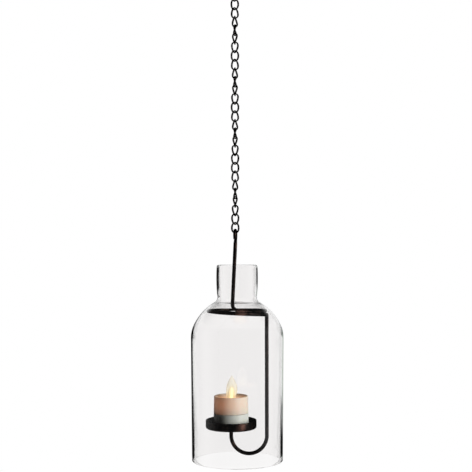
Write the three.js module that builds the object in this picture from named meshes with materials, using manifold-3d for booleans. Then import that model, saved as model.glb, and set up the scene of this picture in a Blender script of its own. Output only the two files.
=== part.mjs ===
// A hanging lantern: a bell-shaped glass chimney resting on a bent wire frame, which carries a
// small tray with a battery tealight and hangs on a chain of twisted links from an S-hook.
// Millimetres, +Z up. The origin is the hang point, inside the crown of the hook. The lantern's
// pieces are modelled from the top of the glass neck, and the tealight's from its underside.
import * as THREE from 'three';
import { mergeVertices } from 'three/addons/utils/BufferGeometryUtils.js';
import Module from 'manifold-3d';

const wasm = await Module();
wasm.setup();

// ---- Driving dimensions ----

const GAP = 0.3; // left between pieces that touch

// The chain hangs down the Z axis, and the glass and its frame hang a little to the right of it.
const NECK_TOP_Z = -332.8;
const GLASS_X = 1.9;

const GLASS_WALL = 1.8;
const GLASS_HEIGHT = 215;
const NECK_TOP_R = 22.1;
const NECK_BULGE_R = 22.8;
const NECK_CREASE_R = 21.6;
const NECK_HEIGHT = 36;
const SHOULDER_ARC = { r: -3.9, z: -90.3, radius: 57.1 };
const BODY_R = 51;
const HIP_Z = -80;
const HIP_RADIUS = 32;
const RIM_R = 49.9;

const FRAME_WIRE = 3.6;
const EYE_TOP_Z = 40;
const EYE_TURN = THREE.MathUtils.degToRad(82);
const EYE_HALF_WIDTH = 3.7;
const EYE_HALF_HEIGHT = 5.05;
const EYE_END_ANGLE = THREE.MathUtils.degToRad(325);
const STEM_TOP_Z = 22.5;
const STEM_BOTTOM_X = -5.5;
const STEM_BEND = 8;
const RING_R = 31.4;
const RING_Z = -50.6;
const RING_DROP = 4.6;
const RING_END_BEND = 3.5;
const RING_END_ANGLE = THREE.MathUtils.degToRad(8);
const ROD_X = 32.5;
const TURN_BOTTOM_Z = -207.5;

const TRAY_X = -6.9;
const TRAY_R = 28;
const TRAY_WALL = 1.2;
const TRAY_BOTTOM_Z = -179.6;
const TRAY_HEIGHT = 9.1;
const TRAY_CORNER = 2;

const LINK_COUNT = 28;
const LINK_WIRE = 1.6;
const LINK_PITCH = 9.46;
const LINK_WIDTH = 7.5;
const LINK_TWIST = THREE.MathUtils.degToRad(60);
const LOWEST_LINK_TURN = THREE.MathUtils.degToRad(4);
const SLACK_LINKS = 11; // the lowest links, which the lantern has turned back a little
const SLACK_STEP = THREE.MathUtils.degToRad(25.2);
const LINK_STEP = THREE.MathUtils.degToRad(30);

const HOOK_WIRE = 3;
const HOOK_CROWN_R = 6;
const HOOK_CROOK_R = 4.6;
const HOOK_END_ANGLE = THREE.MathUtils.degToRad(25);

const CANDLE_HEIGHT = 34;
const CANDLE_BASE_R = 19.4;
const CANDLE_TOP_R = 18.7;
const CANDLE_SEAM_Z = 15.4;
const CANDLE_WALL = 1.6;
const SPIGOT_R = 17.1;
const SPIGOT_TOP_Z = 17.6;
const WICK_HOLE_R = 5.3;
const FLAME_TIP_Z = 56.3;
const FLAME_R = 6;
const FLAME_LEAN = 0.6;
const FLAME_DEPTH = 0.8; // its front-to-back size as a share of its width
const BOARD = { radius: 16.7, bottom: 17.9, thickness: 1.2 };
const COIN_CELL = { radius: 10, bottom: 3.2, height: 3.2 };
const CAP = { radius: 11.6, bottom: 0.2, height: 2.1, lugRadius: 13.2, lugHeight: 1 };
const CAP_HOLE_R = 12;
const SWITCH_RADIUS = 15;
const SWITCH_TURN = THREE.MathUtils.degToRad(-45);
const SWITCH_TRAVEL = 2.4;
const STRIP = 0.4; // thickness of the battery contacts

const WIRE_SIDES = 8;
const ROUND_STEPS = 36;
const LINK_STEPS = 16;
const LINK_SIDES = 6;

// ---- Materials ----

function finish(color, roughness, metalness, more = {}) {
  return new THREE.MeshStandardMaterial({ color, roughness, metalness, ...more });
}

const BRONZE = finish(0x1e1916, 0.5, 0.8);
const CHAIN_STEEL = finish(0x141211, 0.5, 0.8);
const CLEAR_GLASS = finish(0xeef0ee, 0.05, 0, { transparent: true, opacity: 0.2 });
const IVORY = finish(0xe8d3ba, 0.5, 0);
const BASE_PLASTIC = finish(0xb9b6a8, 0.55, 0);
const FLAME_PLASTIC = finish(0xfff0b0, 0.35, 0);
const LED_RESIN = finish(0xffe08a, 0.2, 0);
const BOARD_GREEN = finish(0x1f5a34, 0.5, 0);
const CELL_STEEL = finish(0xc8c9cb, 0.3, 0.9);
const SPRING_STEEL = finish(0xb8b2a2, 0.35, 0.9);
const SWITCH_BLACK = finish(0x151515, 0.5, 0);

// ---- Solids ----

function toSolid(geometry) {
  const bare = geometry.clone();
  bare.deleteAttribute('normal');
  bare.deleteAttribute('uv');
  const merged = mergeVertices(bare, 1e-4);
  return new wasm.Manifold(new wasm.Mesh({
    numProp: 3,
    vertProperties: new Float32Array(merged.attributes.position.array),
    triVerts: new Uint32Array(merged.index.array),
  }));
}

function toGeometry(solid) {
  const mesh = solid.getMesh();
  const geometry = new THREE.BufferGeometry();
  geometry.setAttribute('position', new THREE.BufferAttribute(mesh.vertProperties, 3));
  geometry.setIndex(new THREE.BufferAttribute(mesh.triVerts, 1));
  geometry.computeVertexNormals();
  return geometry;
}

// A profile of [radius, height] points turned about Z.
function turned(profile, steps = ROUND_STEPS) {
  const points = profile.map(([r, z]) => new THREE.Vector2(r, z));
  return new THREE.LatheGeometry(points, steps).rotateX(Math.PI / 2);
}

function ring(profile, steps = ROUND_STEPS) {
  return turned([...profile, profile[0]], steps);
}

function disc(radius, bottom, height, steps = ROUND_STEPS) {
  const cylinder = new THREE.CylinderGeometry(radius, radius, height, steps);
  return cylinder.rotateX(Math.PI / 2).translate(0, 0, bottom + height / 2);
}

function block(width, depth, height, x, y, bottom) {
  return new THREE.BoxGeometry(width, depth, height).translate(x, y, bottom + height / 2);
}

// A slice of a round band, centred on the given angle.
function sector(innerR, outerR, centre, halfAngle, bottom, height) {
  const shape = new THREE.Shape();
  shape.absarc(0, 0, outerR, centre - halfAngle, centre + halfAngle, false);
  shape.absarc(0, 0, innerR, centre + halfAngle, centre - halfAngle, true);
  const depth = height;
  const slice = new THREE.ExtrudeGeometry(shape, { depth, bevelEnabled: false, curveSegments: 6 });
  return slice.translate(0, 0, bottom);
}

// Points on a circle of the XZ plane, at even angles from one to the other.
function arcPoints(x, z, radius, from, to, steps) {
  return Array.from({ length: steps + 1 }, (_, i) => {
    const angle = from + (to - from) * i / steps;
    return [x + radius * Math.cos(angle), z + radius * Math.sin(angle)];
  });
}

// The centreline of a wire: straight steps between points, with the section mitred at each.
class WirePath extends THREE.Curve {
  constructor(points) {
    super();
    this.points = points;
  }

  getPoint(t) {
    const at = t * (this.points.length - 1);
    const i = Math.min(Math.floor(at), this.points.length - 2);
    return this.points[i].clone().lerp(this.points[i + 1], at - i);
  }

  getTangent(t) {
    const last = this.points.length - 1;
    const i = Math.round(t * last);
    const before = this.points[Math.max(i - 1, 0)];
    const here = this.points[i];
    const after = this.points[Math.min(i + 1, last)];
    const arriving = here.clone().sub(before).normalize();
    const leaving = after.clone().sub(here).normalize();
    return arriving.add(leaving).normalize();
  }

  getUtoTmapping(u) {
    return u;
  }
}

function wire(points, diameter, sides = WIRE_SIDES) {
  const section = new THREE.Shape(Array.from({ length: sides }, (_, i) => {
    const angle = 2 * Math.PI * i / sides;
    return new THREE.Vector2(Math.cos(angle), Math.sin(angle)).multiplyScalar(diameter / 2);
  }));
  const extrudePath = new WirePath(points);
  return new THREE.ExtrudeGeometry(section, { steps: points.length - 1, extrudePath });
}

// The corner of a bent wire: the arc of the given radius that joins its two straight runs.
function bend(before, corner, after, radius, steps) {
  const arriving = corner.clone().sub(before).normalize();
  const leaving = after.clone().sub(corner).normalize();
  const angle = arriving.angleTo(leaving);
  const start = corner.clone().addScaledVector(arriving, -radius * Math.tan(angle / 2));
  const inward = leaving.clone().sub(arriving).normalize();
  const centre = corner.clone().addScaledVector(inward, radius / Math.cos(angle / 2));
  const axis = arriving.clone().cross(leaving).normalize();
  return Array.from({ length: steps + 1 }, (_, i) =>
    start.clone().sub(centre).applyAxisAngle(axis, angle * i / steps).add(centre));
}

// ---- Hook ----

// An S-hook in the YZ plane. The crown passes over Z = 0 and the crook passes under the top link.
function hook(crookZ) {
  const crown = { z: HOOK_WIRE / 2 - HOOK_CROWN_R, radius: HOOK_CROWN_R };
  const crook = { z: crookZ + HOOK_CROOK_R, radius: HOOK_CROOK_R };
  const slant = Math.asin((crown.radius + crook.radius) / (crown.z - crook.z));
  const over = arcPoints(0, crown.z, crown.radius, Math.PI + HOOK_END_ANGLE, -slant, 11);
  const under = arcPoints(
    0, crook.z, crook.radius, Math.PI - slant, 2 * Math.PI + HOOK_END_ANGLE, 11);
  return wire([...over, ...under].map(([y, z]) => new THREE.Vector3(0, y, z)), HOOK_WIRE);
}

// ---- Chain ----

// One oval link standing on end, twisted about Z as it rises.
class TwistedLink extends THREE.Curve {
  getPoint(t) {
    const bowR = LINK_WIDTH / 2;
    const bowZ = (LINK_PITCH + LINK_WIRE + GAP) / 2 - bowR;
    const angle = 2 * Math.PI * t;
    const across = bowR * Math.cos(angle);
    const up = bowR * Math.sin(angle) + bowZ * Math.tanh(2.2 * Math.sin(angle)) / Math.tanh(2.2);
    const turn = LINK_TWIST * up / (2 * (bowR + bowZ));
    return new THREE.Vector3(across * Math.cos(turn), across * Math.sin(turn), up);
  }
}

const linkShape = new THREE.TubeGeometry(
  new TwistedLink(), LINK_STEPS, LINK_WIRE / 2, LINK_SIDES, true);
const linkHalf = (LINK_PITCH + LINK_WIRE + GAP) / 2;
const lowestLinkZ = NECK_TOP_Z + EYE_TOP_Z - FRAME_WIRE - GAP - LINK_WIRE / 2 + linkHalf;

// Link 1 is at the top. Each hangs below the last and is turned on from it.
function linkPlace(number) {
  const above = LINK_COUNT - number;
  const slack = Math.min(above, SLACK_LINKS);
  return {
    z: lowestLinkZ + above * LINK_PITCH,
    turn: LOWEST_LINK_TURN - slack * SLACK_STEP - (above - slack) * LINK_STEP,
  };
}

// ---- Wire frame ----

// The hanging eye: an oval loop in an upright plane, whose free end stops just short of the stem.
function eyePoints() {
  const centreZ = EYE_TOP_Z - FRAME_WIRE / 2 - EYE_HALF_HEIGHT;
  const place = (across, z) => new THREE.Vector3(
    across * Math.cos(EYE_TURN) - GLASS_X, across * Math.sin(EYE_TURN), z);
  const loopSteps = 13;
  const loop = Array.from({ length: loopSteps + 1 }, (_, i) => {
    const angle = EYE_END_ANGLE + (Math.PI / 2 - EYE_END_ANGLE) * i / loopSteps;
    return place(EYE_HALF_WIDTH * Math.sin(angle), centreZ - EYE_HALF_HEIGHT * Math.cos(angle));
  });
  const returnSteps = 5;
  const back = Array.from({ length: returnSteps }, (_, i) => {
    const z = THREE.MathUtils.lerp(centreZ, STEM_TOP_Z, (i + 1) / returnSteps);
    return place(EYE_HALF_WIDTH * THREE.MathUtils.smoothstep(z, STEM_TOP_Z, centreZ), z);
  });
  return [...loop, ...back];
}

// The ring that carries the glass. It leaves the spoke on the right, goes round the back, the left
// and the front, and sinks below its own start over the second half turn.
function ringPoint(turn) {
  const share = turn / (2 * Math.PI);
  const sunk = Math.max(0, 2 * share - 1) ** 2;
  const radius = THREE.MathUtils.lerp(RING_R, ROD_X, sunk);
  const z = RING_Z - RING_DROP * sunk;
  return new THREE.Vector3(radius * Math.cos(turn), radius * Math.sin(turn), z);
}

function wireFrame() {
  const eye = eyePoints();
  const stemCorner = new THREE.Vector3(STEM_BOTTOM_X, 0, RING_Z);
  const spokeCorner = new THREE.Vector3(RING_R / Math.cos(RING_END_ANGLE), 0, RING_Z);
  const ringSteps = 32;
  const ringPoints = Array.from({ length: ringSteps + 1 }, (_, i) =>
    ringPoint(RING_END_ANGLE + (2 * Math.PI - 2 * RING_END_ANGLE) * i / ringSteps));
  const rodTop = new THREE.Vector3(ROD_X, 0, ringPoint(2 * Math.PI).z);
  const turnR = (ROD_X - TRAY_X) / 2;
  const turnZ = TURN_BOTTOM_Z + turnR;
  const turnBack = arcPoints(TRAY_X + turnR, turnZ, turnR, 0, -Math.PI, 12)
    .map(([x, z]) => new THREE.Vector3(x, 0, z));
  const points = [
    ...eye,
    ...bend(eye.at(-1), stemCorner, spokeCorner, STEM_BEND, 5),
    ...bend(stemCorner, spokeCorner, ringPoints[0], RING_END_BEND, 4),
    ...ringPoints,
    ...bend(ringPoints.at(-1), rodTop, turnBack[0], RING_END_BEND, 4),
    ...turnBack,
    new THREE.Vector3(TRAY_X, 0, TRAY_BOTTOM_Z - GAP),
  ];
  return wire(points, FRAME_WIRE);
}

function tray() {
  const top = TRAY_HEIGHT;
  const inner = TRAY_R - TRAY_WALL;
  return turned([
    [0, 0],
    ...arcPoints(TRAY_R - TRAY_CORNER, TRAY_CORNER, TRAY_CORNER, -Math.PI / 2, 0, 3),
    [TRAY_R, top - TRAY_WALL / 2],
    [TRAY_R - TRAY_WALL / 2, top],
    [inner, top - TRAY_WALL / 2],
    ...arcPoints(TRAY_R - TRAY_CORNER, TRAY_CORNER, TRAY_CORNER - TRAY_WALL, 0, -Math.PI / 2, 2),
    [0, TRAY_WALL],
  ]);
}

// ---- Glass ----

// One face of the glass, from the neck's top edge to the rim, set in by the given amount.
function glassFace(inset) {
  const arc = SHOULDER_ARC;
  const hipR = BODY_R - HIP_RADIUS;
  const shoulderStart = Math.acos((NECK_CREASE_R + 2 - arc.r) / arc.radius);
  const shoulderEnd = Math.atan2(HIP_Z - arc.z, hipR - arc.r);
  const taper = Math.atan2(BODY_R - RIM_R, GLASS_HEIGHT + HIP_Z);
  return [
    [NECK_TOP_R - inset, 0],
    [NECK_BULGE_R - 0.2 - inset, -NECK_HEIGHT * 0.22],
    [NECK_BULGE_R - inset, -NECK_HEIGHT * 0.45],
    [NECK_BULGE_R - 0.4 - inset, -NECK_HEIGHT * 0.72],
    [NECK_CREASE_R - inset, -NECK_HEIGHT - inset / 3],
    ...arcPoints(arc.r, arc.z, arc.radius - inset, shoulderStart, shoulderEnd, 7),
    ...arcPoints(hipR, HIP_Z, HIP_RADIUS - inset, shoulderEnd, -taper, 3).slice(1),
    [RIM_R - inset, -GLASS_HEIGHT],
  ];
}

function glassChimney() {
  return ring([...glassFace(GLASS_WALL), ...glassFace(0).reverse()]);
}

// ---- Tealight ----

function candleR(z) {
  return THREE.MathUtils.lerp(CANDLE_BASE_R, CANDLE_TOP_R, z / CANDLE_HEIGHT);
}

// The upper shell, dished at the top like melted wax, with a hole for the flame.
function candleShell() {
  const bottom = CANDLE_SEAM_Z + GAP / 2;
  const top = CANDLE_HEIGHT;
  const inside = SPIGOT_R + GAP;
  return ring([
    [candleR(bottom), bottom],
    [candleR(top - 1), top - 1],
    [CANDLE_TOP_R - 0.5, top],
    [CANDLE_TOP_R - 1.3, top - 0.1],
    [CANDLE_TOP_R - 2.5, top - 1.8],
    [CANDLE_TOP_R - 6, top - 3.2],
    [WICK_HOLE_R, top - 3.9],
    [WICK_HOLE_R, top - 5.5],
    [CANDLE_TOP_R - 6, top - 4.9],
    [inside - 1, top - 4.4],
    [inside, top - 5.4],
    [inside, bottom],
  ]);
}

// The lower cup, with a spigot for the shell, the battery opening and the switch slot.
function baseCup() {
  const top = CANDLE_SEAM_Z - GAP / 2;
  const inside = CANDLE_BASE_R - CANDLE_WALL - 0.4;
  const cup = ring([
    [CAP_HOLE_R, 0],
    [CANDLE_BASE_R - 0.8, 0],
    [CANDLE_BASE_R, 0.8],
    [candleR(top), top],
    [SPIGOT_R, top],
    [SPIGOT_R, SPIGOT_TOP_Z],
    [SPIGOT_R - 1, SPIGOT_TOP_Z],
    [SPIGOT_R - 1, top - 3],
    [inside, top - 4.4],
    [inside, CANDLE_WALL],
    [CAP_HOLE_R, CANDLE_WALL],
  ]);
  const notches = [Math.PI / 2, -Math.PI / 2].map((angle) =>
    sector(CAP_HOLE_R - 1, CAP.lugRadius + GAP, angle, 0.35, -1, CANDLE_WALL + 2));
  const slot = block(2.6, SWITCH_TRAVEL + 3, CANDLE_WALL + 2, SWITCH_RADIUS, 0, -1);
  slot.rotateZ(SWITCH_TURN);
  const cuts = [...notches, slot].map(toSolid);
  return toGeometry(cuts.reduce((left, cut) => left.subtract(cut), toSolid(cup)));
}

// The battery cover: a round plug with two locking lugs above it and a coin slot below.
function batteryCap() {
  const lugBottom = CANDLE_WALL + GAP;
  const lugs = [Math.PI / 4, -3 * Math.PI / 4].map((angle) =>
    sector(CAP.radius - 1, CAP.lugRadius, angle, 0.24, lugBottom, CAP.lugHeight));
  const slot = block(14, 1.8, 1.6, 0, 0, CAP.bottom - 0.8);
  const plug = toSolid(disc(CAP.radius, CAP.bottom, CAP.height + 0.3));
  const whole = lugs.map(toSolid).reduce((body, lug) => body.add(lug), plug);
  return toGeometry(whole.subtract(toSolid(slot)));
}

// The hollow flame-shaped tip, which leans very slightly to the left.
function flameTip() {
  const collarZ = CANDLE_HEIGHT - 7.6;
  const widest = CANDLE_HEIGHT + 7;
  const belly = Array.from({ length: 9 }, (_, i) => {
    const share = (i + 1) / 10;
    const radius = FLAME_R * Math.cos(share * Math.PI / 2) ** 0.8 * (1 - 0.25 * share * share);
    return [radius, THREE.MathUtils.lerp(widest, FLAME_TIP_Z, share)];
  });
  const bore = 3.3;
  const flame = turned([
    [0, widest + 2],
    [bore - 1, widest + 1],
    [bore, widest - 2],
    [bore, collarZ - 6],
    [bore + 1.3, collarZ - 6],
    [bore + 1.3, collarZ],
    [WICK_HOLE_R + 1.3, collarZ],
    [WICK_HOLE_R + 1.3, collarZ + 1],
    [bore + 1.3, collarZ + 1],
    [bore + 1.3, CANDLE_HEIGHT - 3],
    [FLAME_R - 0.7, widest - 4],
    [FLAME_R, widest],
    ...belly,
    [0, FLAME_TIP_Z],
  ], 18);
  const at = flame.attributes.position;
  for (let i = 0; i < at.count; i++) {
    const above = Math.max(0, (at.getZ(i) - widest) / (FLAME_TIP_Z - widest));
    const flat = THREE.MathUtils.smoothstep(at.getZ(i), CANDLE_HEIGHT - 3, widest);
    at.setX(i, at.getX(i) - FLAME_LEAN * above ** 2);
    at.setY(i, at.getY(i) * THREE.MathUtils.lerp(1, FLAME_DEPTH, flat));
  }
  return flame;
}

// A 5 mm LED standing on the board on its two leads.
function led() {
  const bottom = BOARD.bottom + BOARD.thickness + GAP;
  const bodyBottom = bottom + 2;
  const dome = arcPoints(0, bodyBottom + 6, 2.4, 0, Math.PI / 2, 4).slice(0, -1);
  const body = turned([
    [0, bodyBottom],
    [2.8, bodyBottom],
    [2.8, bodyBottom + 1],
    [2.4, bodyBottom + 1],
    ...dome,
    [0, bodyBottom + 8.4],
  ], 12);
  const leads = [-1.27, 1.27].map((x) => block(0.5, 0.5, 2.5, x, 0, bottom));
  return toGeometry(leads.map(toSolid).reduce((all, lead) => all.add(lead), toSolid(body)));
}

// A bent strip of sheet metal: the [x, z] path of its middle, given a thickness and a width.
function strip(path, width) {
  const side = (sign) => path.map(([x, z], i) => {
    const [x0, z0] = path[Math.max(i - 1, 0)];
    const [x1, z1] = path[Math.min(i + 1, path.length - 1)];
    const along = Math.hypot(x1 - x0, z1 - z0);
    const reach = sign * STRIP / 2 / along;
    return new THREE.Vector2(x - (z1 - z0) * reach, z + (x1 - x0) * reach);
  });
  const outline = new THREE.Shape([...side(1), ...side(-1).reverse()]);
  const bent = new THREE.ExtrudeGeometry(outline, { depth: width, bevelEnabled: false });
  return bent.translate(0, 0, -width / 2).rotateX(Math.PI / 2);
}

function contactNegative() {
  const low = COIN_CELL.bottom + COIN_CELL.height + GAP + STRIP / 2;
  const high = BOARD.bottom - GAP;
  return strip([[-5, low + 0.8], [0, low], [6, low + 1.6], [8, low + 4], [8, high]], 4);
}

function contactPositive() {
  const beside = -(COIN_CELL.radius + GAP + STRIP / 2);
  const low = COIN_CELL.bottom + 0.4;
  const high = BOARD.bottom - GAP;
  return strip([[beside, low], [beside, low + 3], [beside - 2, low + 6], [beside - 2, high]], 3.5);
}

function switchSlider() {
  const flange = block(2.8, 5, 1.2, 0, 0, CANDLE_WALL + GAP);
  const knob = block(2, 2.4, CANDLE_WALL + 0.4, 0, 0, 0.3);
  return toGeometry(toSolid(flange).add(toSolid(knob)));
}

// ---- Assembly ----

function place(parent, name, geometry, material, x = 0, y = 0, z = 0) {
  const mesh = new THREE.Mesh(geometry, material);
  mesh.name = name;
  mesh.position.set(x, y, z);
  parent.add(mesh);
  return mesh;
}

const hangingLantern = new THREE.Group();

const topLinkTopZ = linkPlace(1).z + linkHalf;
const crookZ = topLinkTopZ - LINK_WIRE / 2 - GAP - HOOK_WIRE / 2;
place(hangingLantern, 'hook', hook(crookZ), BRONZE);

for (let number = 1; number <= LINK_COUNT; number++) {
  const { z, turn } = linkPlace(number);
  const name = `link_${String(number).padStart(2, '0')}`;
  place(hangingLantern, name, linkShape, CHAIN_STEEL, 0, 0, z).rotation.z = turn;
}

const lantern = new THREE.Group();
lantern.position.set(GLASS_X, 0, NECK_TOP_Z);
hangingLantern.add(lantern);
place(lantern, 'wire_frame', wireFrame(), BRONZE);
place(lantern, 'tray', tray(), BRONZE, TRAY_X, 0, TRAY_BOTTOM_Z);
place(lantern, 'glass_chimney', glassChimney(), CLEAR_GLASS);

const candle = new THREE.Group();
candle.position.set(TRAY_X, 0, TRAY_BOTTOM_Z + TRAY_WALL + GAP);
lantern.add(candle);
place(candle, 'candle_shell', candleShell(), IVORY);
place(candle, 'flame_tip', flameTip(), FLAME_PLASTIC);
place(candle, 'led', led(), LED_RESIN);
place(candle, 'circuit_board', disc(BOARD.radius, BOARD.bottom, BOARD.thickness), BOARD_GREEN);
place(candle, 'base_cup', baseCup(), BASE_PLASTIC);
place(candle, 'coin_cell',
  disc(COIN_CELL.radius, COIN_CELL.bottom, COIN_CELL.height), CELL_STEEL);
place(candle, 'contact_positive', contactPositive(), SPRING_STEEL);
place(candle, 'contact_negative', contactNegative(), SPRING_STEEL);
place(candle, 'battery_cap', batteryCap(), BASE_PLASTIC);

const switchGroup = new THREE.Group();
switchGroup.rotation.z = SWITCH_TURN;
candle.add(switchGroup);
place(switchGroup, 'switch_slider', switchSlider(), SWITCH_BLACK,
  SWITCH_RADIUS, -SWITCH_TRAVEL / 2, 0);

export default hangingLantern;
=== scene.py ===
import math

import bmesh
import bpy
from mathutils import Matrix, Quaternion, Vector


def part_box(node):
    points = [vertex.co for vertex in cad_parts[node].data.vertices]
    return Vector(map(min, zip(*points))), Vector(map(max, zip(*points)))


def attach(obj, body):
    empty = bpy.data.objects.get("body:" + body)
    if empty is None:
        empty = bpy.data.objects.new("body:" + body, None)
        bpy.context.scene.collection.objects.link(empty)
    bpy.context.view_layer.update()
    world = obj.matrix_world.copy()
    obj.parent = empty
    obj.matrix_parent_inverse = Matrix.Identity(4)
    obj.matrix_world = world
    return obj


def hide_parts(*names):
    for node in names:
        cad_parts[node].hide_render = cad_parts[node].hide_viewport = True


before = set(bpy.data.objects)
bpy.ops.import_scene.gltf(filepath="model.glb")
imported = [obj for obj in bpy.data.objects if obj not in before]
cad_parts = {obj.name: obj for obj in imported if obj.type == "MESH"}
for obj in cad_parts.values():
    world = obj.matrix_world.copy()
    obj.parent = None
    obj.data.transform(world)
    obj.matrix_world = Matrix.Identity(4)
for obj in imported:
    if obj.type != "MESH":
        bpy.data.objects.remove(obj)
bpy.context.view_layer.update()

# ---- Places, from the frame ----


def middle(node):
    low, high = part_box(node)
    return (low + high) / 2


GLASS_AXIS = Vector((middle("glass_chimney").x, 0, 0))
NECK_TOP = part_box("glass_chimney")[1].z
GLASS_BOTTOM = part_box("glass_chimney")[0].z
LANTERN = Vector((GLASS_AXIS.x, 0, NECK_TOP))
TRAY = Vector((middle("tray").x, 0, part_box("tray")[0].z))
CANDLE = Vector((middle("base_cup").x, 0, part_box("base_cup")[0].z))
LINKS = [f"link_{number:02d}" for number in range(1, 29)]

# ---- Driving dimensions ----

GAP = 0.0003

NECK_TOP_R = 0.0221
NECK_BULGE_R = 0.0228
NECK_CREASE_R = 0.0216
NECK_HEIGHT = 0.036
SHOULDER_R, SHOULDER_Z, SHOULDER_ARC = -0.0039, -0.0903, 0.0571
BODY_R = 0.051
HIP_Z = -0.080
HIP_ARC = 0.032
RIM_R = 0.0499
GLASS_HEIGHT = NECK_TOP - GLASS_BOTTOM
NECK_WALL = 0.0026
SHOULDER_WALL = 0.0016
BODY_WALL = 0.0019
RIM_WALL = 0.0027

FRAME_WIRE = 0.0036
FRAME_EXTRA = 0.0003  # added to the wire's radius below its eye, because thin dark lines render too thin
EYE_TOP_Z = 0.040
EYE_TURN = math.radians(82)
EYE_HALF_WIDTH = 0.0043  # room for the lowest link's thicker legs
EYE_HALF_HEIGHT = 0.00505
EYE_END_ANGLE = math.radians(325)
STEM_TOP_Z = 0.0225
STEM_BOTTOM_X = -0.0055
STEM_BEND = 0.008
RING_R = 0.0314
RING_Z = -0.0506
RING_DROP = 0.0046
RING_END_BEND = 0.0035
RING_END_ANGLE = math.radians(8)
ROD_X = 0.0325
TURN_BOTTOM_Z = -0.2075

TRAY_R = 0.028
TRAY_WALL = 0.0012
TRAY_HEIGHT = 0.0091
TRAY_CORNER = 0.002
TRAY_LIP = 0.0011

LINK_WIRE = 0.0016
LEG_SWELL = 0.00025  # added to the radius of a link's legs, but not its bows, for the same reason
SEAM_DEPTH = 0.16  # the share by which a link's wire narrows at its closed seam
LINK_WIDTH = 0.0075
LINK_LENGTH = 0.01136
LINK_TWIST = math.radians(60)
LOWEST_LINK_TURN = math.radians(4)
SLACK_LINKS = 11
SLACK_STEP = math.radians(25.2)  # the turn from link to link over the lowest stretch of the chain
LINK_STEP = math.radians(30)  # and above it

HOOK_WIRE = 0.003
HOOK_CROWN_R = 0.006
HOOK_CROOK_R = 0.0046
HOOK_END_ANGLE = math.radians(25)

CANDLE_HEIGHT = 0.034
CANDLE_BASE_R = 0.0194
CANDLE_TOP_R = 0.0187
CANDLE_SEAM_Z = 0.0154
CANDLE_WALL = 0.0016
SPIGOT_R = 0.0171
SPIGOT_TOP_Z = 0.0176
WICK_HOLE_R = 0.0053
WAX_WAVE = 0.00012
FLAME_TIP_Z = 0.0563
FLAME_R = 0.006
FLAME_SHIFT = 0.0009  # how far the flame stands to the right of its hole's middle
FLAME_DEPTH = 0.8
FLAME_BORE_R = 0.0033
LED_R, LED_FLANGE_R = 0.0024, 0.0029
BOARD_R, BOARD_Z, BOARD_THICKNESS = 0.0167, 0.0179, 0.0012
CELL_R, CELL_Z, CELL_HEIGHT = 0.010, 0.0032, 0.0032
CAP_R, CAP_HEIGHT, CAP_LUG_R, CAP_LUG_HEIGHT = 0.0116, 0.0024, 0.0132, 0.001
CAP_HOLE_R = 0.012
SWITCH_RADIUS = 0.015
SWITCH_TURN = math.radians(-45)
SWITCH_TRAVEL = 0.0024
STRIP = 0.0004

FLOOR_Z = -0.95
FLOOR_R = 1.0

CAMERA_X = 0.0008
CAMERA_DISTANCE = 1.2116
CAMERA_Z = NECK_TOP + 0.0319
CAMERA_LENS = 83.9
CAMERA_ROLL = math.radians(0.12)

KEY_PLACE = Vector((0.96, -0.5, -0.25))
KEY_SIZE = (0.35, 0.9)
KEY_POWER = 18.0
FLOOR_LIGHT_Z = 0.7
FLOOR_LIGHT_SIZE = (0.8, 0.8)
FLOOR_LIGHT_POWER = 22.0

# ---- Materials ----


class Shader:
    """A node tree, built by adding one node at a time."""

    def __init__(self, tree):
        tree.nodes.clear()
        self.tree = tree

    def add(self, kind, inputs=(), output=0, **settings):
        node = self.tree.nodes.new("ShaderNode" + kind)
        for name, value in settings.items():
            setattr(node, name, value)
        for name, value in dict(inputs).items():
            self.feed(node.inputs[name], value)
        return node.outputs[output] if len(node.outputs) else None

    def feed(self, socket, value):
        if isinstance(value, bpy.types.NodeSocket):
            self.tree.links.new(value, socket)
        else:
            socket.default_value = value

    def math(self, operation, a, b=0.0):
        return self.add("Math", {0: a, 1: b}, operation=operation)

    def ramp(self, value, low, high, to_low=0.0, to_high=1.0):
        """value eased from low..high to to_low..to_high."""
        sockets = {"Value": value, "From Min": low, "From Max": high, "To Min": to_low, "To Max": to_high}
        return self.add("MapRange", sockets, interpolation_type="SMOOTHSTEP")

    def blend(self, share, a, b):
        node = self.tree.nodes.new("ShaderNodeMix")
        node.data_type = "RGBA"
        for index, value in ((0, share), (6, a), (7, b)):
            self.feed(node.inputs[index], value)
        return node.outputs[2]

    def noise(self, where, scale, detail=4.0, roughness=0.55):
        sockets = {"Vector": where, "Scale": scale, "Detail": detail, "Roughness": roughness}
        return self.add("TexNoise", sockets)

    def bump(self, height, strength, distance):
        return self.add("Bump", {"Height": height, "Strength": strength, "Distance": distance})

    def near(self, where, point, radius):
        """1 at the point, falling to 0 at the radius."""
        away = self.add("VectorMath", {0: where, 1: point}, 1, operation="DISTANCE")
        return self.ramp(away, 0.0, radius, 1.0, 0.0)


def material(name):
    made = bpy.data.materials.new(name)
    made.use_nodes = True
    shader = Shader(made.node_tree)
    return made, shader, shader.add("TexCoord", output="Object")


def surface(shader, **inputs):
    """Ends the tree in a Principled shader. Names are its sockets' names with _ for spaces."""
    sockets = {name.replace("_", " "): value for name, value in inputs.items()}
    bsdf = shader.add("BsdfPrincipled", sockets)
    shader.add("OutputMaterial", {"Surface": bsdf})
    return bsdf


def grey(value, alpha=1.0):
    return (value, value, value, alpha)


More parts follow.
